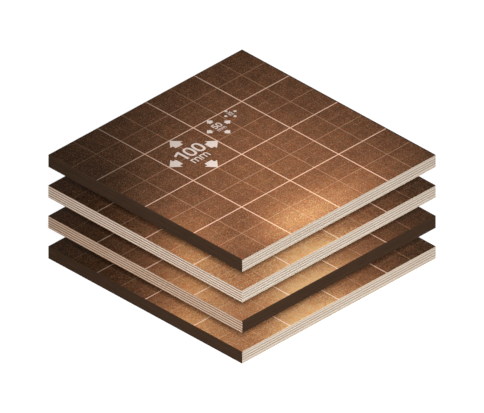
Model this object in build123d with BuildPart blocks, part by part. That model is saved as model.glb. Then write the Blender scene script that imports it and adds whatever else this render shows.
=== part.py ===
from build123d import *
import os

# Stack of four square sheets of film-faced plywood, held apart by pairs of softwood battens.
# Millimetres. The origin is at the middle of the stack's underside, with +Z up, +X along the
# sheets' length and +Y along their width. The printed marks on the faces read along +X.

# One sheet of plywood
sheet_length = 400.0
sheet_width = 400.0
sheet_thickness = 21.0
sheet_arris = 0.4

# The stack
sheet_count = 4

# One batten of square-sawn softwood, laid on its side along the sheets' width
batten_height = 32.0
batten_width = 32.0
batten_arris = 0.8

# How far the battens stay back from the sheets' edges, at their sides and at their ends
batten_side_inset = 52.0
batten_end_inset = 50.0

# Worked out from the sizes above
stack_pitch = sheet_thickness + batten_height
batten_length = sheet_width - 2 * batten_end_inset
batten_centre_x = sheet_length / 2 - batten_side_inset - batten_width / 2


def write_piece(piece, name):
    """Label a finished piece and write it to its own file."""
    piece.label = name
    export_step(piece, f"parts/{name}.step")


os.makedirs("parts", exist_ok=True)

# The sheets, numbered from the floor up
for number in range(1, sheet_count + 1):
    underside = (number - 1) * stack_pitch
    with BuildPart() as sheet:
        with BuildSketch(Plane.XY.offset(underside)):
            Rectangle(sheet_length, sheet_width)
        extrude(amount=sheet_thickness)
        # The saw leaves sharp edges, which are just broken with abrasive paper
        chamfer(sheet.edges(), length=sheet_arris)
    write_piece(sheet.part, f"sheet_{number}")

# A pair of battens on every sheet but the top one, each pair right above the one below
for number in range(1, sheet_count):
    bearing_face = Plane.XY.offset((number - 1) * stack_pitch + sheet_thickness)
    for side_name, side in (("left", -1), ("right", 1)):
        with BuildPart() as batten:
            with BuildSketch(bearing_face):
                with Locations((side * batten_centre_x, 0)):
                    Rectangle(batten_width, batten_length)
            extrude(amount=batten_height)
            chamfer(batten.edges(), length=batten_arris)
        write_piece(batten.part, f"spacer_{number}_{side_name}")
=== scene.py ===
import math
import bpy
import numpy as np
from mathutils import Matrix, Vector, geometry


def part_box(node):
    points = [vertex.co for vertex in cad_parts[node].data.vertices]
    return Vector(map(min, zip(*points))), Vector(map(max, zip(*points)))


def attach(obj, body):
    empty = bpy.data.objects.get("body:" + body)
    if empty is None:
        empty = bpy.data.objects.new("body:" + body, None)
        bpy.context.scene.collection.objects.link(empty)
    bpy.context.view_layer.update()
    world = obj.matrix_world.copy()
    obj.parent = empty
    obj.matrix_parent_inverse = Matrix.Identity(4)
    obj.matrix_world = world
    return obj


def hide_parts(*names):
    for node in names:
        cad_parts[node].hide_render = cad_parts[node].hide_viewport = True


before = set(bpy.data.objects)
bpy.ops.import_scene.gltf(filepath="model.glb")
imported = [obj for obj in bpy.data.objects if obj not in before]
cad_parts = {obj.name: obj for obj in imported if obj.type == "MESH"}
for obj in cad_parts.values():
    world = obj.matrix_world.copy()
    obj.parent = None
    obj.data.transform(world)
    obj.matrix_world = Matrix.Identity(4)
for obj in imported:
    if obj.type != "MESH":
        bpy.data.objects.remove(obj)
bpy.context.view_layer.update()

mm = 0.001
noiseSpan = {"From Min": 0.3, "From Max": 0.7}      # nearly all of a noise's values lie in here
fadeOut = {"To Min": 1.0, "To Max": 0.0}
tinting = {"data_type": "RGBA", "blend_type": "MULTIPLY"}


# helpers

def linearColour(hexText, alpha=1.0):
    # sRGB to linear: below 0.04045 a straight line, above it a power of 2.4
    values = [int(hexText[i:i + 2], 16) / 255 for i in (1, 3, 5)]
    return [v / 12.92 if v <= 0.04045 else ((v + 0.055) / 1.055) ** 2.4 for v in values] + [alpha]


def setInputs(tree, node, inputs):
    # each input takes a value, a socket, or a node whose first live output is meant
    for name, value in inputs.items():
        if isinstance(value, bpy.types.Node):
            value = next(socket for socket in value.outputs if socket.enabled)
        if isinstance(value, bpy.types.NodeSocket):
            tree.links.new(value, node.inputs[name])
        else:
            node.inputs[name].default_value = value


def addNode(tree, kind, inputs=None, stops=None, **settings):
    # one shader node of this kind with its settings, its inputs and the stops of its ramp
    node = tree.nodes.new("ShaderNode" + kind)
    for name, value in settings.items():
        setattr(node, name, value)
    setInputs(tree, node, inputs or {})
    if stops:
        elements = node.color_ramp.elements
        while len(elements) < len(stops):
            elements.new(1.0)
        for element, (place, colour) in zip(elements, stops):
            element.position = place
            element.color = linearColour(colour)
    return node


def newMaterial(name, plain):
    # a material with one Principled shader and the values that are the same all over it
    material = bpy.data.materials.new(name)
    material.use_nodes = True
    tree = material.node_tree
    tree.nodes.clear()
    shader = addNode(tree, "BsdfPrincipled", plain)
    addNode(tree, "OutputMaterial", {"Surface": shader})
    return material, tree, shader


def newPiece(name, points, faces, materials, slots=None, uv=None):
    # points in mm, faces as lists of corners, uv as one pair for each corner in order
    mesh = bpy.data.meshes.new(name)
    mesh.from_pydata((points * mm).tolist(), [], faces)
    for material in materials:
        mesh.materials.append(material)
    if slots is not None:
        mesh.polygons.foreach_set("material_index", np.asarray(slots, dtype=np.int32))
    if uv is not None:
        layer = mesh.uv_layers.new(name="OFBake")
        layer.uv.foreach_set("vector", np.asarray(uv, dtype=np.float32).ravel())
    mesh.validate()
    mesh.update()
    piece = bpy.data.objects.new(name, mesh)
    bpy.context.collection.objects.link(piece)
    return piece


def storeValues(piece, name, values, domain="POINT"):
    # a number, a vector or a colour for each point or face, told apart by how many parts it has
    values = np.asarray(values, dtype=np.float32)
    parts = values.shape[1] if values.ndim == 2 else 1
    kind, field = {1: ("FLOAT", "value"), 3: ("FLOAT_VECTOR", "vector"), 4: ("FLOAT_COLOR", "color")}[parts]
    layer = piece.data.attributes.new(name, kind, domain)
    layer.data.foreach_set(field, values.ravel())


def gentleWave(count, length, strength, seed, span=180.0, waves=9):
    # sum of sines that meet themselves after one turn round the piece: each has its own whole
    # number of turns, up to three in every span, its own phase and an even share of the strength
    chance = np.random.default_rng(seed)
    along = np.arange(count) / count
    most = max(2, 3 * int(length / span))
    turns = chance.integers(1, most + 1, waves)
    phases = chance.uniform(0, 2 * np.pi, waves)
    return strength * np.sin(2 * np.pi * turns[:, None] * along + phases[:, None]).sum(0) / math.sqrt(waves)


# the film's tone and the print

printLook = {
    "lineFamilies": [
        # step between lines, place of the first from the print's corner, half width, strength,
        # pitch of dots or 0; mm
        (100.0, 100.0, 0.85, 1.0, 0.0),
        (100.0, 50.0, 0.6, 0.33, 0.0),
        (50.0, 25.0, 0.5, 0.18, 3.2),
    ],
    "dotRim": (0.2, 0.3),         # where a dot begins to fade and ends, in parts of its pitch
    "softEdge": 0.15,
    "edgeGuard": 10.0,            # no line runs along an edge nearer to it than this
    # size of the worn spots in mm, and how the noise turns into ink left on the lines, or into the
    # share of the thin colour on the marks
    "lineSpots": 1.6, "lineWear": {"From Min": 0.3, "From Max": 0.5, "To Min": 0.8},
    "markSpots": 1.8, "markWear": {"From Min": 0.3, "From Max": 0.6, "To Min": 0.25, "To Max": 0.0},
    # how far each sheet's print lies off its near corner, along X and Y, from the floor up
    "shifts": {1: (-1.2, -0.8), 2: (-1.7, -1.3), 3: (-1.3, -0.7), 4: (0.8, 1.4)},
    # ink colours by the film's tone: on dark film the ink is thin and the brown shows through, and as
    # the tone carries painted light and shade, the ink is painted brighter in the pool of light and
    # dimmer in the painted shade
    "lineInk": [(0.24, "#816d5e"), (0.385, "#d3ad97"), (0.535, "#f7c6aa"), (0.74, "#ffd7b2"),
                (0.9, "#ffe2ca")],
    # the thin ink of the fainter lines is warmer: its tint, and where thin ends and full begins
    "thinTint": "#fff2e2", "thinSpan": {"From Min": 0.35, "From Max": 0.8},
    # the marks' ink follows the film's tone too, with its painted light and shade
    "markInk": [(0.24, "#9b8b80"), (0.397, "#ccbcb2"), (0.475, "#e6d4ca"), (0.735, "#ebded6")],
    "markThin": "#a58e7d",        # marks worn thin
    "inkHeight": 0.05, "inkDepth": 0.02,      # over the film's face and into it, mm
    "inkBump": {"Strength": 0.2, "Distance": 0.05 * mm},
}

filmLook = {
    # tone is 0 for black and 1 for the palest film. Each glow is painted light, and with a gain below 0
    # painted shade: together they paint a pool of light, golden near each sheet's front edge, and shade,
    # dark umber towards the far corners. Each glow: centre from the sheet's near corner, reach along and
    # across, mm, turn in degrees, gain
    "toneBase": 0.072,
    "glows": [(175, 99, 417, 254, 45, 0.47), (100, 15, 180, 50, 0, 0.362), (-6, 91, 69, 80, 0, 0.284),
              (28, 31, 71, 71, 0, -0.35)],
    "topGlows": [(4, 64, 40, 36, 0, 0.05), (350, 45, 70, 80, 0, 0.028), (4, 300, 60, 45, 0, -0.058),
                 (350, 235, 45, 65, 0, -0.035), (12, 18, 34, 34, 0, -0.03)],
    # the three sheets under the top one are painted paler along their near edges: painted light that
    # makes up for the shade of the sheet above and carries the pool of light there
    "lowerShare": 0.94,
    "lowerGlows": [(36, 200, 37, 160, 0, 0.125), (0, 80, 104, 104, 0, 0.25), (139, -56, 96, 49, 0, 0.97),
                   (10, 255, 40, 45, 0, -0.012), (400, 10, 50, 30, 0, -0.035), (8, 364, 35, 16, 0, 0.026)],
    "darkest": 0.155, "lowerDarkest": 0.172, "underside": 0.34,
    "tones": [(0.1, "#170e07"), (0.25, "#3a2717"), (0.37, "#563b29"), (0.5, "#755039"),
              (0.61, "#906244"), (0.73, "#ab7955"), (0.85, "#c89669"), (0.96, "#e1b581")],
    # size in mm, most change of tone and detail of the mottling, from broad clouds to flecks; the
    # paper's real fibres are 0.05 mm wide, so the flecks are drawn as coarse as the picture can show
    "mottle": [(18.0, 0.03, 3.0), (6.5, 0.015, 3.0), (1.8, 0.125, 2.0)],
    # sparse pale flecks: size in mm, and how the noise turns into tone added
    "fleckSize": 1.9, "flecks": {"From Min": 0.6, "From Max": 0.7, "To Max": 0.15},
    # patches of redder, yellower and greyer resin: size in mm, tint and most of it
    "patches": [(7.0, "#ffdfd0", 0.8), (8.0, "#f6ffe0", 0.5), (5.0, "#f0edff", 0.3)],
    # where in the noise a patch begins and is full, and how far the noise is moved off, m
    "patchSpan": {"From Min": 0.45, "From Max": 0.66}, "patchShift": (0.37, 0.11, 0.05),
    # the top sheet's film is a little redder all over, the lower sheets' in one glow
    "topRed": 0.35, "redGlow": (0, 118, 60, 42, 0, 0.7), "redTint": "#fff0e4",
    "roughness": {"To Min": 0.48, "To Max": 0.54}, "sheenSize": 14.0, "specular": 0.02,
    "bump": {"Strength": 0.25, "Distance": 0.06 * mm},
    "mottleHeight": 0.5,          # the mottling stands half as high as the ink
}


def glow(x, y, x0, y0, reachAlong, reachAcross, turn, gain):
    # gain * exp(-(along / reach)^2 - (across / reach)^2)
    c, s = math.cos(math.radians(turn)), math.sin(math.radians(turn))
    along, across = (x - x0) * c + (y - y0) * s, (y - y0) * c - (x - x0) * s
    return gain * np.exp(-(along / reachAlong) ** 2 - (across / reachAcross) ** 2)


def filmTone(number, x, y):
    # tone = base + sum of the painted light and shade, and its redness
    toneWithPaintedLight = filmLook["toneBase"] + sum(glow(x, y, *g) for g in filmLook["glows"])
    if number == len(sheetEdges):
        toneWithPaintedLight = toneWithPaintedLight + sum(glow(x, y, *g) for g in filmLook["topGlows"])
        return np.maximum(toneWithPaintedLight, filmLook["darkest"]), np.full_like(toneWithPaintedLight, filmLook["topRed"])
    toneWithPaintedLight = filmLook["lowerShare"] * toneWithPaintedLight + sum(glow(x, y, *g) for g in filmLook["lowerGlows"])
    return np.maximum(toneWithPaintedLight, filmLook["lowerDarkest"]), glow(x, y, *filmLook["redGlow"])


def filmMaterial(name, printed):
    # phenolic film: kraft paper soaked in brown resin and pressed on the birch face under heat.
    # The eye sees a satin brown skin, clouded by the paper's fibres, with pale and dark flecks and
    # redder or yellower patches where the resin lies thick or thin. Colour = ramp of
    # (tone + sum of mottlings), tinted by the patches, with the ink and then the sealer's lap over it.
    # The tone carries painted light and shade: golden in a painted pool of light, dark umber in
    # painted shade.
    material, tree, shader = newMaterial(name, {"Specular IOR Level": filmLook["specular"]})
    where = addNode(tree, "TexCoord").outputs["Object"]
    # the film's tone, with its painted light and shade
    toneWithPaintedLight = addNode(tree, "Attribute", attribute_name="filmTone").outputs["Fac"]
    mottled = toneWithPaintedLight
    for size, depth, detail in filmLook["mottle"]:
        cloud = addNode(tree, "TexNoise", {
            "Vector": where, "Scale": 1 / (size * mm), "Detail": detail, "Roughness": 0.6})
        change = addNode(tree, "MapRange", {"Value": cloud, **noiseSpan, "To Min": -depth, "To Max": depth})
        mottled = addNode(tree, "Math", {0: mottled, 1: change}, operation="ADD")
    speckle = addNode(tree, "TexNoise", {
        "Vector": where, "Scale": 1 / (filmLook["fleckSize"] * mm), "Detail": 0.0})
    fleck = addNode(tree, "MapRange", {"Value": speckle, **filmLook["flecks"]})
    mottled = addNode(tree, "Math", {0: mottled, 1: fleck}, operation="ADD")
    surface = addNode(tree, "ValToRGB", {"Fac": mottled}, filmLook["tones"])
    for turn, (size, tint, most) in enumerate(filmLook["patches"]):
        shift = Vector(filmLook["patchShift"]) + Vector((turn, 0, 0))
        moved = addNode(tree, "VectorMath", {0: where, 1: shift}, operation="ADD")
        patch = addNode(tree, "TexNoise", {
            "Vector": moved, "Scale": 1 / (size * mm), "Detail": 3.0, "Roughness": 0.6})
        share = addNode(tree, "MapRange", {"Value": patch, **filmLook["patchSpan"], "To Max": most})
        surface = addNode(tree, "Mix", {0: share, 6: surface, 7: linearColour(tint)}, **tinting)
    red = addNode(tree, "Attribute", attribute_name="filmRed").outputs["Fac"]
    tint = linearColour(filmLook["redTint"])
    surface = addNode(tree, "Mix", {0: red, 6: surface, 7: tint}, **tinting)
    height = addNode(tree, "Math", {0: cloud, 1: filmLook["mottleHeight"]}, operation="MULTIPLY")
    if printed:
        ink = inkAmount(tree, where)
        # the ink's colour follows the tone, so it takes the same painted light and shade
        inkColour = addNode(tree, "ValToRGB", {"Fac": toneWithPaintedLight}, printLook["lineInk"])
        thin = addNode(tree, "MapRange", {"Value": ink, **printLook["thinSpan"], **fadeOut})
        tint = linearColour(printLook["thinTint"])
        inkColour = addNode(tree, "Mix", {0: thin, 6: inkColour, 7: tint}, **tinting)
        surface = addNode(tree, "Mix", {0: ink, 6: surface, 7: inkColour}, data_type="RGBA")
        height = addNode(tree, "Math", {0: ink, 1: height}, operation="ADD")
        lap = addNode(tree, "Attribute", attribute_name="sealerLap").outputs["Fac"]
        ragged, soft = edgeLook["lapRagged"], edgeLook["lapSoft"]
        begins, full = (ragged / 2 - soft) * mm, (ragged / 2 + soft) * mm
        uneven = addNode(tree, "Math", {0: cloud, 1: ragged * mm, 2: lap}, operation="MULTIPLY_ADD")
        coated = addNode(tree, "MapRange", {"Value": uneven, "From Min": begins, "From Max": full})
        surface = addNode(tree, "Mix", {
            0: coated, 6: surface, 7: linearColour(edgeLook["sealer"])}, data_type="RGBA")
    bump = addNode(tree, "Bump", {"Height": height, **filmLook["bump"]})
    sheen = addNode(tree, "TexNoise", {
        "Vector": where, "Detail": 3.0, "Scale": 1 / (filmLook["sheenSize"] * mm)})
    rough = addNode(tree, "MapRange", {"Value": sheen, **noiseSpan, **filmLook["roughness"]})
    setInputs(tree, shader, {"Base Color": surface, "Roughness": rough, "Normal": bump})
    return material


def inkAmount(tree, where):
    # 1 on a line and 0 beside it, from the distance to the nearest line of each family, both ways;
    # dotted lines are cut by the same rule along their length, and the ink is worn here and there
    spot = addNode(tree, "Attribute", attribute_name="printPlace").outputs["Vector"]
    axes = addNode(tree, "SeparateXYZ", {0: spot})
    low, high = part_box("sheet_1")
    middle, reach = (high[0] - low[0]) / 2, (high[0] - low[0]) / 2 - printLook["edgeGuard"] * mm
    soft = printLook["softEdge"]
    total = 0.0
    for across, along in (("X", "Y"), ("Y", "X")):
        inside = addNode(tree, "Math", {0: axes.outputs[across], 1: middle, 2: reach}, operation="COMPARE")
        for step, first, half, strength, dots in printLook["lineFamilies"]:
            place = addNode(tree, "Math", {0: axes.outputs[across], 1: (step - first) * mm}, operation="ADD")
            away = addNode(tree, "Math", {0: place, 1: step / 2 * mm}, operation="PINGPONG")
            found = addNode(tree, "MapRange", {
                "Value": away, "From Min": (half - soft) * mm, "From Max": (half + soft) * mm,
                "To Min": strength, "To Max": 0.0})
            found = addNode(tree, "Math", {0: found, 1: inside}, operation="MULTIPLY")
            if dots:
                beat = addNode(tree, "Math", {0: axes.outputs[along], 1: dots / 2 * mm}, operation="PINGPONG")
                begins, ends = (share * dots * mm for share in printLook["dotRim"])
                dot = addNode(tree, "MapRange", {
                    "Value": beat, "From Min": begins, "From Max": ends, **fadeOut})
                found = addNode(tree, "Math", {0: found, 1: dot}, operation="MULTIPLY")
            total = addNode(tree, "Math", {0: total, 1: found}, operation="MAXIMUM")
    wear = addNode(tree, "TexNoise", {
        "Vector": where, "Scale": 1 / (printLook["lineSpots"] * mm), "Detail": 2.0})
    cover = addNode(tree, "MapRange", {"Value": wear, **printLook["lineWear"]})
    return addNode(tree, "Math", {0: total, 1: cover}, operation="MULTIPLY")


def inkMaterial():
    # screen-printing ink: pale, matt, worn thin in places so that the film shows through, and
    # dimmer where the film under it is dark; as its colour follows the film's tone, it carries the
    # same painted light and shade
    material, tree, shader = newMaterial("screenPrintInk", {"Roughness": 0.6, "Specular IOR Level": 0.3})
    where = addNode(tree, "TexCoord").outputs["Object"]
    # the film's tone, with its painted light and shade
    toneWithPaintedLight = addNode(tree, "Attribute", attribute_name="filmTone").outputs["Fac"]
    colour = addNode(tree, "ValToRGB", {"Fac": toneWithPaintedLight}, printLook["markInk"])
    wear = addNode(tree, "TexNoise", {
        "Vector": where, "Scale": 1 / (printLook["markSpots"] * mm), "Detail": 3.0})
    thin = addNode(tree, "MapRange", {"Value": wear, **printLook["markWear"]})
    worn = addNode(tree, "Mix", {
        0: thin, 6: colour, 7: linearColour(printLook["markThin"])}, data_type="RGBA")
    bump = addNode(tree, "Bump", {"Height": wear, **printLook["inkBump"]})
    setInputs(tree, shader, {"Base Color": worn, "Normal": bump})
    return material


# the sawn and the sealed edges

edgeLook = {
    # birch colours for the ±Y edges and for the ±X edges. Long grain shows on the plies that run
    # along an edge, end grain on those that run into it. The grains are the birch's own; that the ±X
    # edges' colours are warmer, and their end grain darker, is painted light: the warmer, dimmer light
    # on that side
    "longGrain": ["#e2d6c7", "#e9d8c9"],
    "endGrain": ["#b5a18f", "#a6866c"],
    "outerEndGrain": "#cfbfad",      # the ply under each face veneer is cut from paler wood
    "veneerTint": "#fff6ea",         # the face veneers are warmer, stained by the resin
    # the sheets are of different birch: number 2's is darker and warmer
    "sheetTints": {1: "#fcfbfa", 2: "#e7dbd1", 3: "#ffffff", 4: "#fefefe"},
    "glue": "#705849",
    "plyShades": (0.94, 1.04),
    "streak": (9.0, 9.0, 0.35),      # mm, along X, Y and Z
    "streakDepth": 0.05,
    "speck": 0.9, "speckDepth": 0.06,
    "sawnBump": {"Strength": 0.35, "Distance": 0.15 * mm},
    "sealedBump": {"Strength": 0.3, "Distance": 0.2 * mm},
    "sealer": "#3c2b1f", "sealerShades": (0.93, 1.05), "brushed": {"To Min": 0.88, "To Max": 1.12},
    "brush": (26.0, 26.0, 3.0),      # mm, along X, Y and Z
    "seed": 40,
    # how far the sealer laps over the film's rim on each sheet, how ragged and how soft it ends, mm
    "laps": {1: 0.3, 2: 0.8, 3: 0.0, 4: 2.0}, "lapRagged": 1.5, "lapSoft": 0.5,
}


def sawnEdgeMaterial():
    # rotary-cut birch, sawn across: plies that run along the edge are pale and streaked, those
    # that run into it are darker and pored, with thin dark glue between them. Colour = the face's
    # own colour * streaks along the edge * specks.
    material, tree, shader = newMaterial("sawnBirchEdge", {"Roughness": 0.78, "Specular IOR Level": 0.1})
    where = addNode(tree, "TexCoord").outputs["Object"]
    own = addNode(tree, "Attribute", attribute_name="edgeColour").outputs["Color"]
    stretched = addNode(tree, "VectorMath", {
        0: where, 1: [1 / (size * mm) for size in edgeLook["streak"]]}, operation="MULTIPLY")
    streak = addNode(tree, "TexNoise", {"Vector": stretched, "Scale": 1.0, "Detail": 4.0})
    speck = addNode(tree, "TexNoise", {"Vector": where, "Scale": 1 / (edgeLook["speck"] * mm)})
    shaded = own
    for grain, depth in ((streak, edgeLook["streakDepth"]), (speck, edgeLook["speckDepth"])):
        gain = addNode(tree, "MapRange", {"Value": grain, **noiseSpan, "To Min": 1 - 2 * depth})
        shaded = addNode(tree, "VectorMath", {0: shaded, "Scale": gain}, operation="SCALE")
    bump = addNode(tree, "Bump", {"Height": speck, **edgeLook["sawnBump"]})
    setInputs(tree, shader, {"Base Color": shaded, "Normal": bump})
    return material


def sealedEdgeMaterial():
    # acrylic edge sealer rolled on over the sawn plies: dark brown, matt, with the plies showing
    # through as faint ridges. Colour = the face's own colour * cloudy brush marks.
    material, tree, shader = newMaterial("acrylicEdgeSealer", {"Roughness": 0.65, "Specular IOR Level": 0.02})
    where = addNode(tree, "TexCoord").outputs["Object"]
    own = addNode(tree, "Attribute", attribute_name="edgeColour").outputs["Color"]
    stretched = addNode(tree, "VectorMath", {
        0: where, 1: [1 / (size * mm) for size in edgeLook["brush"]]}, operation="MULTIPLY")
    brushed = addNode(tree, "TexNoise", {"Vector": stretched, "Scale": 1.0, "Detail": 5.0})
    gain = addNode(tree, "MapRange", {"Value": brushed, **noiseSpan, **edgeLook["brushed"]})
    shaded = addNode(tree, "VectorMath", {0: own, "Scale": gain}, operation="SCALE")
    bump = addNode(tree, "Bump", {"Height": brushed, **edgeLook["sealedBump"]})
    setInputs(tree, shader, {"Base Color": shaded, "Normal": bump})
    return material


# what stands in place of a ply's number for the film and for the glue
filmRow, glueRow = -1, -2


def edgeColours(number, ply, side, sealed):
    # colour of each face of the edge band: its grain's colour times its own ply's shade and the
    # sheet's tint, the glue's between plies, or the sealer's all over a sealed edge. The grain's colour
    # is taken by the edge's axis, so on the ±X edges it carries painted warmer, dimmer light. The ones
    # at the end of the shades are the film's and the glue's.
    chance = np.random.default_rng(edgeLook["seed"] + number)
    shades = np.append(chance.uniform(*edgeLook["plyShades"], sheetLook["plies"]), [1.0, 1.0])
    grainsWithSideLight = np.array([[linearColour(edgeLook[kind][axis]) for kind in ("longGrain", "endGrain")]
                       for axis in (0, 1)])
    endGrain = (ply % 2 == 0) != (side % 2 == 0)
    colours = grainsWithSideLight[side % 2, endGrain.astype(int)] * shades[ply][:, None]
    last = sheetLook["plies"] - 1
    outer = endGrain & ((ply == 1) | (ply == last - 1))
    colours[outer] = linearColour(edgeLook["outerEndGrain"]) * shades[ply[outer]][:, None]
    faceVeneer = (ply == 0) | (ply == last)
    colours[faceVeneer] *= linearColour(edgeLook["veneerTint"])
    colours[ply == glueRow] = linearColour(edgeLook["glue"])
    colours *= linearColour(edgeLook["sheetTints"][number])
    thickness = np.append(chance.uniform(*edgeLook["sealerShades"], sheetLook["plies"]), [1.0, 1.0])
    coated = np.array(linearColour(edgeLook["sealer"])) * thickness[ply][:, None]
    return np.where(sealed[:, None], coated, colours)


# the plywood sheet

sheetLook = {
    "inkRoom": 0.06,          # the film lies this much under the solid's face, so that the ink stays inside
    "edgeRoom": 0.02,         # and the edges this much inside the solid's
    "cornerRadius": 0.6, "arris": 0.25, "arrisSteps": 3,
    "filmEdge": 0.3,
    # eleven plies: nine of even thickness between two sanded face veneers, the grain of each
    # running square to the next; the face veneers run along X
    "plies": 11, "veneer": 1.25, "glueLine": 0.14,
    "longRecess": 0.03, "endRecess": 0.11,
    "wave": 0.10, "waveSeed": 100,
    "saw": 0.02, "sawSpan": 20.0, "sawSeeds": (900, 50),      # roughness left by the saw
    "cells": 100,
    "sealedRelief": 0.35,            # the share of its relief that a sealed edge keeps
}

# map for the baked textures: lower left corner and size of the two faces, and the strips of the
# four edges: their left end and length, the first one's top, their pitch and height, and the
# room that a corner takes past the end of its side
uvLook = {
    "faces": (((0.004, 0.004), (0.796, 0.796)), ((0.810, 0.004), (0.186, 0.796))),
    "left": 0.006, "long": 0.985, "top": 0.990, "pitch": 0.047, "tall": 0.042, "corner": 0.003,
}

# finish of the four edges of each sheet, from the floor up: the hidden far edges repeat the
# finish of the near edge that they face
sheetEdges = {
    1: {"X": "sealed", "Y": "bare"},
    2: {"X": "bare", "Y": "sealed"},
    3: {"X": "bare", "Y": "bare"},
    4: {"X": "sealed", "Y": "bare"},
}


def edgeProfile(thickness):
    # rows from the top face down to the underside: how far in from the edge, height, and for
    # the face below each row its ply counted from the top, or filmRow or glueRow
    top = thickness - sheetLook["inkRoom"]
    radius = sheetLook["arris"]
    turn = np.linspace(0, np.pi / 2, sheetLook["arrisSteps"] + 1)
    rows = [(radius * (1 - math.sin(a)), top - radius * (1 - math.cos(a)), filmRow) for a in turn]
    rows.append((sheetLook["longRecess"], top - sheetLook["filmEdge"], 0))
    plies, veneer = sheetLook["plies"], sheetLook["veneer"]
    bounds = np.linspace(thickness - veneer, veneer, plies - 1)
    half = sheetLook["glueLine"] / 2
    for ply in range(plies):
        upper = bounds[ply - 1] - half if ply else top - sheetLook["filmEdge"]
        lower = bounds[ply] + half if ply < plies - 1 else sheetLook["filmEdge"]
        if ply:
            rows.append((sheetLook["longRecess"], upper, ply))
        rows.append((sheetLook["longRecess"], (upper + lower) / 2, ply))
        rows.append((sheetLook["longRecess"], lower, glueRow if ply < plies - 1 else filmRow))
    rows += [(radius * (1 - math.cos(a)), radius * (1 - math.sin(a)), filmRow) for a in turn]
    return np.array(rows)


def sheetPath(halfX, halfY):
    # a square with small round corners, walked anticlockwise: for each station the centre that
    # it is set out from, its outward direction, its side, and its place along that side
    radius = sheetLook["cornerRadius"]
    cells = sheetLook["cells"]
    corners = np.array([(-1, -1), (1, -1), (1, 1), (-1, 1)]) * (halfX - radius, halfY - radius)
    outward = np.array([(0, -1), (1, 0), (0, 1), (-1, 0)], float)
    centres, ways, sides, places = [], [], [], []
    for side in range(4):
        along = np.linspace(0, 1, cells + 1)
        start, end = corners[side], corners[(side + 1) % 4]
        centres.append(start + (end - start) * along[:, None])
        ways.append(np.repeat(outward[side][None], cells + 1, 0))
        sides.append(np.full(cells + 1, side))
        places.append(along)
        for share in (1 / 3, 2 / 3):
            angle = math.radians(-90 + 90 * (side + share))
            centres.append(end[None])
            ways.append(np.array([[math.cos(angle), math.sin(angle)]]))
            sides.append(np.array([side]))
            places.append(np.array([1.0 + share * uvLook["corner"]]))
    return np.concatenate(centres), np.concatenate(ways), np.concatenate(sides), np.concatenate(places)


def edgeRing(number, rows, stations, sides, sealed, length):
    # inset and height of every row at every station: the plies' bounds rise and fall in gentle
    # waves, the saw leaves a fine roughness, and end grain wears back a little more
    inset, height = (np.repeat(rows[:, k:k + 1], stations, 1) for k in (0, 1))
    plyOf = rows[:, 2].astype(int)
    plyNear = np.where(plyOf >= 0, plyOf, np.roll(plyOf, 1))       # the ply that a row belongs to
    intoEdge = (plyNear[:, None] % 2 == 0) != (sides % 2 == 0)[None, :]
    relief = np.where(sealed[sides], sheetLook["sealedRelief"], 1.0)
    firstSeed, seedStep = sheetLook["sawSeeds"]
    for k, ply in enumerate(plyNear):
        if ply < 0 or plyOf[k] == filmRow:
            continue
        if glueRow in (plyOf[k], plyOf[k - 1]):
            # both rows of one glue line take the same wave, by the odd number between its plies
            line = 2 * ply + (1 if plyOf[k] == glueRow else -1)
            seed = sheetLook["waveSeed"] * number + line
            height[k] += gentleWave(stations, length, sheetLook["wave"], seed)
        seed = firstSeed + seedStep * number + k
        rough = sheetLook["saw"] * np.abs(gentleWave(stations, length, 1.0, seed, sheetLook["sawSpan"]))
        wornBack = intoEdge[k] * (sheetLook["endRecess"] - sheetLook["longRecess"])
        inset[k] = (inset[k] + rough + wornBack) * relief
    return inset, height


# the order of the finishes in a sheet's mesh
printedSlot, sawnSlot, sealedSlot, plainSlot = range(4)


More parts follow.
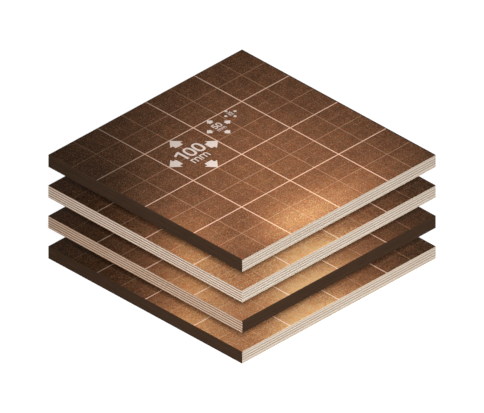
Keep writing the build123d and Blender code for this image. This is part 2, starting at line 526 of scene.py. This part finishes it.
def sheetPiece(number, materials):
    # the edge profile carried round the path, closed above and below by a square grid that meets
    # the path's stations one to one
    low, high = (np.array(corner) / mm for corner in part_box(f"sheet_{number}"))
    middle, size, thickness = (low + high)[:2] / 2, (high - low)[:2], high[2] - low[2]
    rows = edgeProfile(thickness)
    plyOf = rows[:, 2].astype(int)
    centres, ways, sides, places = sheetPath(*(size / 2 - sheetLook["edgeRoom"]))
    stations, cells, radius = len(centres), sheetLook["cells"], sheetLook["cornerRadius"]
    sealed = np.array([sheetEdges[number][axis] for axis in "YXYX"]) == "sealed"
    inset, height = edgeRing(number, rows, stations, sides, sealed, 2 * size.sum())
    flat = centres[None] + (radius - inset)[:, :, None] * ways[None]
    ring = np.concatenate([flat, height[:, :, None]], 2).reshape(-1, 3)

    grid = np.linspace(-1, 1, cells + 1)
    gx, gy = np.meshgrid(*((size / 2 - sheetLook["edgeRoom"] - radius)[:, None] * grid))
    topGrid = np.stack([gx, gy, np.full_like(gx, rows[0, 1])], 2).reshape(-1, 3)
    lowGrid = topGrid * (1, 1, 0)
    points = np.concatenate([ring, topGrid, lowGrid]) + (middle[0], middle[1], low[2])

    # faces of the band round the edge
    k, s = np.meshgrid(np.arange(len(rows) - 1), np.arange(stations), indexing="ij")
    after = (s + 1) % stations
    band = np.stack([k * stations + s, (k + 1) * stations + s, (k + 1) * stations + after,
                     k * stations + after], 2).reshape(-1, 4)
    # faces of the two square grids
    j, i = np.meshgrid(np.arange(cells), np.arange(cells), indexing="ij")
    corner = j * (cells + 1) + i
    square = np.stack([corner, corner + 1, corner + cells + 2, corner + cells + 1], 2).reshape(-1, 4)
    topStart, lowStart = len(ring), len(ring) + len(topGrid)
    # the grid's own rim, station by station: a corner's stations all meet its corner point
    walk = np.arange(cells + 1)
    rim = np.concatenate([
        np.append(walk, [cells] * 2),
        np.append(cells + walk * (cells + 1), [cells * (cells + 2)] * 2),
        np.append(cells * (cells + 1) + walk[::-1], [cells * (cells + 1)] * 2),
        np.append(walk[::-1] * (cells + 1), [0] * 2)])
    here = np.arange(stations)
    there = (here + 1) % stations
    lastRow = (len(rows) - 1) * stations
    straight = rim[here] != rim[there]
    topRim = np.stack([here, there, topStart + rim[there], topStart + rim[here]], 1)
    lowRim = np.stack([lastRow + there, lastRow + here, lowStart + rim[here], lowStart + rim[there]], 1)
    parts = [topStart + square, topRim[straight], topRim[~straight][:, :3],
             lowStart + square[:, ::-1], lowRim[straight], lowRim[~straight][:, :3]]
    rest = [face for part in parts for face in part.tolist()]

    # which finish each face shows: the first half of the rest belongs to the printed face
    bandPly, bandSide = np.repeat(plyOf[:-1], stations), np.tile(sides, len(rows) - 1)
    bandSlot = np.where(bandPly == filmRow, printedSlot, np.where(sealed[bandSide], sealedSlot, sawnSlot))
    restSlot = np.repeat([printedSlot, plainSlot], len(rest) // 2)

    # the printed face large, the four edges in strips above it, the underside in a column beside it
    flatPlace = (points[:, :2] - low[:2]) / size
    printedUv, plainUv = (corner + flatPlace * reach for corner, reach in uvLook["faces"])
    down = np.append(0, np.cumsum(np.hypot(*np.diff(rows[:, :2], axis=0).T)))
    down /= down[-1]
    bandS, bandK = s.reshape(-1), k.reshape(-1)
    nextS = after.reshape(-1)
    nextPlace = np.where(sides[nextS] == sides[bandS], places[nextS], 1 + uvLook["corner"])
    left, right = (uvLook["left"] + uvLook["long"] * place for place in (places[bandS], nextPlace))
    base = uvLook["top"] - uvLook["pitch"] * sides[bandS]
    upper, lower = (base - uvLook["tall"] * down[row] for row in (bandK, bandK + 1))
    bandUv = np.stack([left, upper, left, lower, right, lower, right, upper], 1).reshape(-1, 2)
    partUv = [printedUv] * 3 + [plainUv] * 3
    restUv = np.concatenate([uv[part.ravel()] for uv, part in zip(partUv, parts)])

    piece = newPiece(f"plywoodSheet{number}", points, band.tolist() + rest, materials,
                     np.append(bandSlot, restSlot), np.concatenate([bandUv, restUv]))
    colours = edgeColours(number, bandPly, bandSide, sealed[bandSide])
    storeValues(piece, "edgeColour", np.concatenate([colours, np.ones((len(rest), 4))]), "FACE")
    # the film's tone with its painted light and shade, on the upper half; the underside is plain
    toneWithPaintedLight, red = filmTone(number, points[:, 0] - low[0], points[:, 1] - low[1])
    upperHalf = points[:, 2] - low[2] > thickness / 2
    storeValues(piece, "filmTone", np.where(upperHalf, toneWithPaintedLight, filmLook["underside"]))
    storeValues(piece, "filmRed", red * upperHalf)
    away = np.stack([points[:, 1] - low[1], high[0] - points[:, 0], high[1] - points[:, 1],
                     points[:, 0] - low[0]])
    nearest = np.where(sealed[:, None], away, 2 * size.max()).min(0)
    storeValues(piece, "sealerLap", (edgeLook["laps"][number] - nearest) * mm)
    shift = np.append(printLook["shifts"][number], 0)
    storeValues(piece, "printPlace", (points - low - shift) * mm)
    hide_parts(f"sheet_{number}")
    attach(piece, "root")


# the size marks

markLook = {
    # each mark's centre from the print's middle, mm, its scale and its figures
    "marks": [((-49.1, 49.9), 1.0, "100"), ((27.9, 75.6), 0.49, "50"), ((65.1, 88.4), 0.25, "25")],
    "tipReach": 50.0, "arrowLength": 20.5, "headLength": 14.4, "headWidth": 25.0, "shaftWidth": 14.5,
    "figureHeight": 23.6, "figureBase": -3.6, "figureGap": 1.5, "figureMiddle": 0.4, "figureStroke": 3.9,
    "rooms": {"0": 16.1, "1": 15.4, "2": 15.8, "5": 15.8},      # the width that each figure takes
    "zeroBow": 0.8,             # 1 is an ellipse, less is fuller
    "unitHeight": 11.3, "unitBase": -19.4, "unitStroke": 1.9, "unitWidth": 15.2, "unitGap": 2.2,
}


leastBend = 1e-6            # sine of the turn under which a line counts as straight
mergeReach = 1e-4           # mm, corners nearer than this are merged


def stroke(points, width):
    # a rectangle for every step of an open line, and at each bend a kite that fills its outer
    # corner: the kite's tip lies half the width from both rectangles' outer sides
    points = np.asarray(points, float)
    steps = np.diff(points, axis=0)
    steps /= np.linalg.norm(steps, axis=1)[:, None]
    sides = np.stack([-steps[:, 1], steps[:, 0]], 1) * width / 2
    shapes = [[a + s, a - s, b - s, b + s] for a, b, s in zip(points, points[1:], sides)]
    for middle, before, after in zip(points[1:], sides, sides[1:]):
        bend = before[0] * after[1] - before[1] * after[0]
        if abs(bend) > leastBend:
            halving = before + after
            tip = halving * (width / 2) ** 2 / (halving @ before)
            shapes.append([middle] + [middle - math.copysign(1, bend) * out for out in (before, tip, after)])
    return shapes


def arc(centre, reach, start, end, steps):
    # points of an ellipse between two angles in degrees
    angle = np.radians(np.linspace(start, end, steps))
    return np.stack([centre[0] + reach[0] * np.cos(angle), centre[1] + reach[1] * np.sin(angle)], 1)


def figureShape(figure):
    # one figure as a list of polygons in mm, its lower left corner at 0, and the room that it takes
    tall, thick, room = markLook["figureHeight"], markLook["figureStroke"], markLook["rooms"][figure]
    half = thick / 2
    if figure == "0":
        bow = arc((0, 0), (1, 1), 0, 360, 49)
        bow = np.sign(bow) * np.abs(bow) ** markLook["zeroBow"]
        middle = np.array([room / 2, tall / 2])
        outer = bow * middle + middle
        inner = bow * (middle - (thick, thick * 0.86)) + middle       # thinner above and below
        shapes = np.stack([outer[:-1], outer[1:], inner[1:], inner[:-1]], 1)
    elif figure == "1":
        stem = [(8.7, 0), (12.8, 0), (12.8, tall), (8.7, tall)]
        flag = [(0, tall - 8.4), (8.7, tall - 4.4), (9.6, tall), (8.7, tall), (0, tall - 4.3)]
        shapes = [stem, flag]
    elif figure == "2":
        crown = arc((7.9, tall - 7.5), (5.9, 5.5), 168, -28, 18)
        shapes = stroke(np.vstack([crown, [(2.8, half), (15.2, half)]]), thick)
    else:
        bowl = arc((7.8, 7.6), (6.0, 5.7), 138, -152, 22)
        line = np.vstack([[(14.6, tall - half), (3.9, tall - half), (2.7, 11.8)], bowl[1:]])
        shapes = stroke(line, thick)
    return shapes, room


def unitShape():
    # the letter m in mm: three stems joined by two half round arches
    tall, thick, wide = markLook["unitHeight"], markLook["unitStroke"], markLook["unitWidth"]
    first, last = thick / 2, wide - thick / 2
    span = (last - first) / 2
    shapes = stroke([(first, 0), (first, tall)], thick)
    for left in (first, first + span):
        bend = arc((left + span / 2, tall - thick / 2 - span / 2), (span / 2, span / 2), 180, 0, 14)
        shapes += stroke(np.vstack([bend, [(left + span, 0)]]), thick)
    return shapes


def markShapes(centre, scale, figures):
    # four arrows that point at the sides of the cell, the figures, and mm under them
    tip, long = markLook["tipReach"], markLook["arrowLength"]
    headBase, shaftBase = tip - markLook["headLength"], tip - long
    head, shaft = markLook["headWidth"] / 2, markLook["shaftWidth"] / 2
    arrow = np.array([(tip, 0), (headBase, head), (headBase, shaft), (shaftBase, shaft),
                      (shaftBase, -shaft), (headBase, -shaft), (headBase, -head)])
    shapes = [arrow @ np.array([(cosine, sine), (-sine, cosine)])
              for cosine, sine in ((1, 0), (0, 1), (-1, 0), (0, -1))]
    drawn = [figureShape(figure) for figure in figures]
    width = sum(room for _, room in drawn) + markLook["figureGap"] * (len(drawn) - 1)
    left = markLook["figureMiddle"] - width / 2
    for polygons, room in drawn:
        shapes += [np.asarray(p) + (left, markLook["figureBase"]) for p in polygons]
        left += room + markLook["figureGap"]
    pitch = markLook["unitWidth"] + markLook["unitGap"]
    for turn in (-1, 0):
        place = (markLook["figureMiddle"] + markLook["unitGap"] / 2 + turn * pitch, markLook["unitBase"])
        shapes += [np.asarray(p) + place for p in unitShape()]
    return [np.asarray(p) * scale + centre for p in shapes]


def sizeMarksPiece(number, ink):
    # the outlines are laid over each other and merged, then given the ink's thickness: every
    # edge that only one triangle uses gets a wall
    shapes = [shape for mark in markLook["marks"] for shape in markShapes(*mark)]
    flat, loops = [], []
    for shape in shapes:
        x, y = shape.T
        if (x * np.roll(y, -1) - y * np.roll(x, -1)).sum() < 0:     # outlines run anticlockwise
            shape = shape[::-1]
        loops.append(list(range(len(flat), len(flat) + len(shape))))
        flat += [Vector(spot) for spot in shape.tolist()]
    spots, _, triangles, _, _, owners = geometry.delaunay_2d_cdt(flat, [], loops, 0, mergeReach)
    triangles = np.array([t for t, owner in zip(triangles, owners) if owner])
    used, triangles = np.unique(triangles, return_inverse=True)
    triangles = triangles.reshape(-1, 3)
    low, high = (np.array(corner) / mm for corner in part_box(f"sheet_{number}"))
    spots = np.array(spots)[used] + (low + high)[:2] / 2 + printLook["shifts"][number]
    count, face = len(spots), high[2] - sheetLook["inkRoom"]
    levels = np.repeat([face + printLook["inkHeight"], face - printLook["inkDepth"]], count)
    points = np.column_stack([np.tile(spots, (2, 1)), levels])
    edges = np.concatenate([triangles[:, [0, 1]], triangles[:, [1, 2]], triangles[:, [2, 0]]])
    # each edge as one number, its start times the count and its end
    single = np.setdiff1d(edges @ (count, 1), edges @ (1, count))
    start, end = np.divmod(single, count)
    walls = np.column_stack([start + count, end + count, end, start])
    faces = triangles.tolist() + (triangles[:, ::-1] + count).tolist() + walls.tolist()
    piece = newPiece(f"sizeMarks{number}", points, faces, [ink])
    # the marks take the film's tone, with its painted light and shade
    storeValues(piece, "filmTone", filmTone(number, points[:, 0] - low[0], points[:, 1] - low[1])[0])
    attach(piece, "root")


# the battens

battenLook = {
    "arris": 0.9, "arrisSteps": 3, "sideSteps": 6, "alongStep": 6.0,
    "sawWave": 0.06, "sawSpan": 60.0, "seed": 300,
    "endBreak": 0.6,            # how far the ends' edges are broken, in parts of the arris
    # colours across one year's ring, from the pale early wood to the dark late wood and back
    "rings": [(0.0, "#cbb18a"), (0.55, "#c3a47b"), (0.86, "#aa8253"), (1.0, "#cbb18a")],
    # mm between rings, how far they sway and over what length, and how much slower along the log
    "ring": 2.6, "sway": (6.0, 30.0), "swayAlong": 0.06,
    "pith": (30.0, 60.0), "log": 4000.0,        # how far off the pith lies, and the log's length, mm
    "fibre": (0.8, 25.0, 0.8), "shades": {"To Min": 0.86, "To Max": 1.05},
    "bump": {"Strength": 0.5, "Distance": 0.3 * mm},
}


def battenMaterial():
    # rough-sawn spruce: pale straw early wood between darker late wood, in rings about a pith
    # that lies outside the batten. Its own place in the log is stored on the points. Colour =
    # ramp of the fraction of (distance from the swaying pith / ring) * fibre streaks.
    material, tree, shader = newMaterial("sawnSpruce", {"Roughness": 0.8, "Specular IOR Level": 0.25})
    spot = addNode(tree, "Attribute", attribute_name="logPlace").outputs["Vector"]
    size, span = battenLook["sway"]
    squeezed = addNode(tree, "VectorMath", {
        0: spot, 1: (1.0, battenLook["swayAlong"], 1.0)}, operation="MULTIPLY")
    sway = addNode(tree, "TexNoise", {"Vector": squeezed, "Scale": 1 / (span * mm), "Detail": 3.0})
    pushed = addNode(tree, "VectorMath", {
        0: sway.outputs["Color"], 1: (size * mm, 0.0, size * mm)}, operation="MULTIPLY")
    bent = addNode(tree, "VectorMath", {0: spot, 1: pushed}, operation="ADD")
    flattened = addNode(tree, "VectorMath", {0: bent, 1: (1.0, 0.0, 1.0)}, operation="MULTIPLY")
    distance = addNode(tree, "VectorMath", {0: flattened}, operation="LENGTH")
    ringPlace = addNode(tree, "Math", {
        0: distance.outputs["Value"], 1: battenLook["ring"] * mm}, operation="DIVIDE")
    ring = addNode(tree, "Math", {0: ringPlace}, operation="FRACT")
    colour = addNode(tree, "ValToRGB", {"Fac": ring}, battenLook["rings"])
    stretched = addNode(tree, "VectorMath", {
        0: spot, 1: [1 / (s * mm) for s in battenLook["fibre"]]}, operation="MULTIPLY")
    fibre = addNode(tree, "TexNoise", {"Vector": stretched, "Scale": 1.0, "Detail": 3.0})
    shade = addNode(tree, "MapRange", {"Value": fibre, **noiseSpan, **battenLook["shades"]})
    shaded = addNode(tree, "VectorMath", {0: colour, "Scale": shade}, operation="SCALE")
    bump = addNode(tree, "Bump", {"Height": fibre, **battenLook["bump"]})
    setInputs(tree, shader, {"Base Color": shaded, "Normal": bump})
    return material


def battenPiece(node, seed, material):
    # a square with round corners carried along the batten, each station a little smaller by a
    # gentle wave, and closed by a fan at both ends
    low, high = (np.array(corner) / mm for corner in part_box(node))
    half, middle = (high - low) / 2, (low + high) / 2
    radius = battenLook["arris"]
    turn = np.linspace(0, np.pi / 2, battenLook["arrisSteps"] + 1)
    share = np.linspace(-1, 1, battenLook["sideSteps"] + 1)[1:-1]
    reach = np.array([half[0] - radius, half[2] - radius])
    outline = []
    for quarter, (sx, sz) in enumerate(((1, 1), (-1, 1), (-1, -1), (1, -1))):
        angle = turn + quarter * np.pi / 2
        outline.append((sx, sz) * reach + radius * np.stack([np.cos(angle), np.sin(angle)], 1))
        side = np.array([(-1, 0), (0, -1), (1, 0), (0, 1)][quarter])
        level = np.array([(0, 1), (-1, 0), (0, -1), (1, 0)][quarter])
        outline.append(np.outer(share, side * reach) + level * half[[0, 2]])
    outline = np.concatenate(outline)
    around = len(outline)
    stations = int(round(2 * half[1] / battenLook["alongStep"])) + 1
    y = np.linspace(-half[1], half[1], stations)
    ends = np.isin(np.arange(stations), (0, stations - 1))
    setBack = radius * battenLook["endBreak"]
    waves = gentleWave(stations, 2 * half[1], battenLook["sawWave"], seed, battenLook["sawSpan"])
    shrink = np.abs(waves) + ends * setBack
    y[1], y[-2] = -half[1] + setBack, half[1] - setBack
    tube = np.stack([outline[None, :, 0] * (1 - shrink / half[0])[:, None],
                     np.repeat(y[:, None], around, 1),
                     outline[None, :, 1] * (1 - ends * setBack / half[2])[:, None]], 2).reshape(-1, 3)
    local = np.concatenate([tube, [(0, -half[1], 0), (0, half[1], 0)]])
    s, p = np.meshgrid(np.arange(stations - 1), np.arange(around), indexing="ij")
    after = (p + 1) % around
    skin = np.stack([s * around + p, s * around + after, (s + 1) * around + after, (s + 1) * around + p],
                    2).reshape(-1, 4)
    ring = np.arange(around)
    ahead, lastRing = (ring + 1) % around, (stations - 1) * around
    first = np.stack([ring, np.full(around, len(tube)), ahead], 1)
    last = np.stack([lastRing + ahead, np.full(around, len(tube) + 1), lastRing + ring], 1)
    name = "batten" + node.replace("spacer", "").replace("_", " ").title().replace(" ", "")
    piece = newPiece(name, local + middle, skin.tolist() + first.tolist() + last.tolist(), [material])
    chance = np.random.default_rng(seed)
    angle = chance.uniform(0, 2 * np.pi)
    pith = chance.uniform(*battenLook["pith"]) * np.array([math.cos(angle), math.sin(angle)])
    storeValues(piece, "logPlace", (local + (pith[0], chance.uniform(0, battenLook["log"]), pith[1])) * mm)
    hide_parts(node)
    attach(piece, "root")


printedFilm = filmMaterial("printedPhenolicFilm", printed=True)
plainFilm = filmMaterial("plainPhenolicFilm", printed=False)
sheetMaterials = [printedFilm, sawnEdgeMaterial(), sealedEdgeMaterial(), plainFilm]
ink = inkMaterial()
spruce = battenMaterial()
print("finishes made")
for number in sheetEdges:
    sheetPiece(number, sheetMaterials)
    sizeMarksPiece(number, ink)
print("sheets and their marks made")
battenNodes = sorted(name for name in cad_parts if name.startswith("spacer"))
for seed, node in enumerate(battenNodes, battenLook["seed"]):
    battenPiece(node, seed, spruce)
print("battens made")


# camera, stage and light

viewLook = {
    "azimuth": -45.0, "elevation": 32.96, "distance": 2.5, "clipEnd": 50.0,
    "width": 0.706,             # metres across the picture
}
lightLook = {
    "world": 0.576,
    # what the camera sees of the floor: an even part, and a part that keeps the stack's shadow
    "floorEven": 0.82, "floorShaded": 0.333,
    "floor": "#b4b4b4", "floorReach": 6.0,
    "floorGap": 0.00005,        # a hair under the stack, so that the two faces never fight
    # a broad round lamp with a soft-edged beam, brightest at the stack's near corner
    "key": {"azimuth": -41.0, "elevation": 33.5, "distance": 2.5, "size": 0.85, "power": 552.0, "beam": 20.0,
            "aim": (-0.07, -0.19, 0.09), "colour": "#ffffff"},
}
stageMiddle = Vector((0.0, 0.0, 0.09))


def fromMiddle(azimuth, elevation, distance):
    # a point at these angles and distance from the stack's middle; azimuth 0 is in front, at -Y
    a, e = math.radians(azimuth), math.radians(elevation)
    way = Vector((math.sin(a) * math.cos(e), -math.cos(a) * math.cos(e), math.sin(e)))
    return stageMiddle + distance * way


def seenRays(tree):
    # 1 for a look from the camera, in a gloss or through a clear piece, 0 for light on its way
    path = addNode(tree, "LightPath")
    seen = path.outputs["Is Camera Ray"]
    for kind in ("Is Glossy Ray", "Is Transmission Ray"):
        seen = addNode(tree, "Math", {0: seen, 1: path.outputs[kind]}, operation="MAXIMUM")
    return seen


def addStage():
    # a wide plain floor. It is pale grey to the light that it gives back; where it is seen it is
    # even part + shaded part * light on it, which is white apart from the stack's shadow
    mesh = bpy.data.meshes.new("floor")
    reach = lightLook["floorReach"]
    level = -lightLook["floorGap"]
    mesh.from_pydata([(-reach, -reach, level), (reach, -reach, level), (reach, reach, level),
                      (-reach, reach, level)], [], [(0, 1, 2, 3)])
    floor = bpy.data.objects.new("floor", mesh)
    bpy.context.collection.objects.link(floor)
    material = bpy.data.materials.new("paleFloor")
    material.use_nodes = True
    tree = material.node_tree
    tree.nodes.clear()
    share = 1 - lightLook["floorShaded"]
    plain = addNode(tree, "BsdfDiffuse", {"Color": linearColour(lightLook["floor"])})
    pale = addNode(tree, "BsdfDiffuse", {"Color": (1, 1, 1, 1)})
    even = lightLook["floorEven"] / share
    white = addNode(tree, "Emission", {"Color": (1, 1, 1, 1), "Strength": even})
    shown = addNode(tree, "MixShader", {0: share, 1: pale, 2: white})
    mixed = addNode(tree, "MixShader", {0: seenRays(tree), 1: plain, 2: shown})
    addNode(tree, "OutputMaterial", {"Surface": mixed})
    mesh.materials.append(material)


def addWorld():
    # even soft light from all round, plain white where it is seen
    world = bpy.data.worlds.new("studio")
    bpy.context.scene.world = world
    world.use_nodes = True
    tree = world.node_tree
    tree.nodes.clear()
    strength = addNode(tree, "MapRange", {"Value": seenRays(tree), "To Min": lightLook["world"]})
    back = addNode(tree, "Background", {"Color": (1, 1, 1, 1), "Strength": strength})
    addNode(tree, "OutputWorld", {"Surface": back})


def addLamp(name):
    # a round lamp of real size whose beam fades to its rim
    look = lightLook[name]
    data = bpy.data.lights.new(name, "SPOT")
    data.energy = look["power"]
    data.color = linearColour(look["colour"])[:3]
    data.shadow_soft_size = look["size"] / 2
    data.spot_size = math.radians(look["beam"])
    data.spot_blend = 1.0
    lamp = bpy.data.objects.new(name, data)
    lamp.location = fromMiddle(look["azimuth"], look["elevation"], look["distance"])
    lamp.rotation_euler = (Vector(look["aim"]) - lamp.location).to_track_quat("-Z", "Y").to_euler()
    bpy.context.collection.objects.link(lamp)


def addCamera():
    data = bpy.data.cameras.new("camera")
    data.type = "ORTHO"
    data.ortho_scale = viewLook["width"]
    data.clip_end = viewLook["clipEnd"]
    camera = bpy.data.objects.new("camera", data)
    camera.location = fromMiddle(viewLook["azimuth"], viewLook["elevation"], viewLook["distance"])
    camera.rotation_euler = (stageMiddle - camera.location).to_track_quat("-Z", "Y").to_euler()
    bpy.context.collection.objects.link(camera)
    bpy.context.scene.camera = camera


addStage()
addWorld()
addLamp("key")
addCamera()
bpy.context.scene.view_settings.view_transform = "Standard"
print("stage, lamp and camera set")
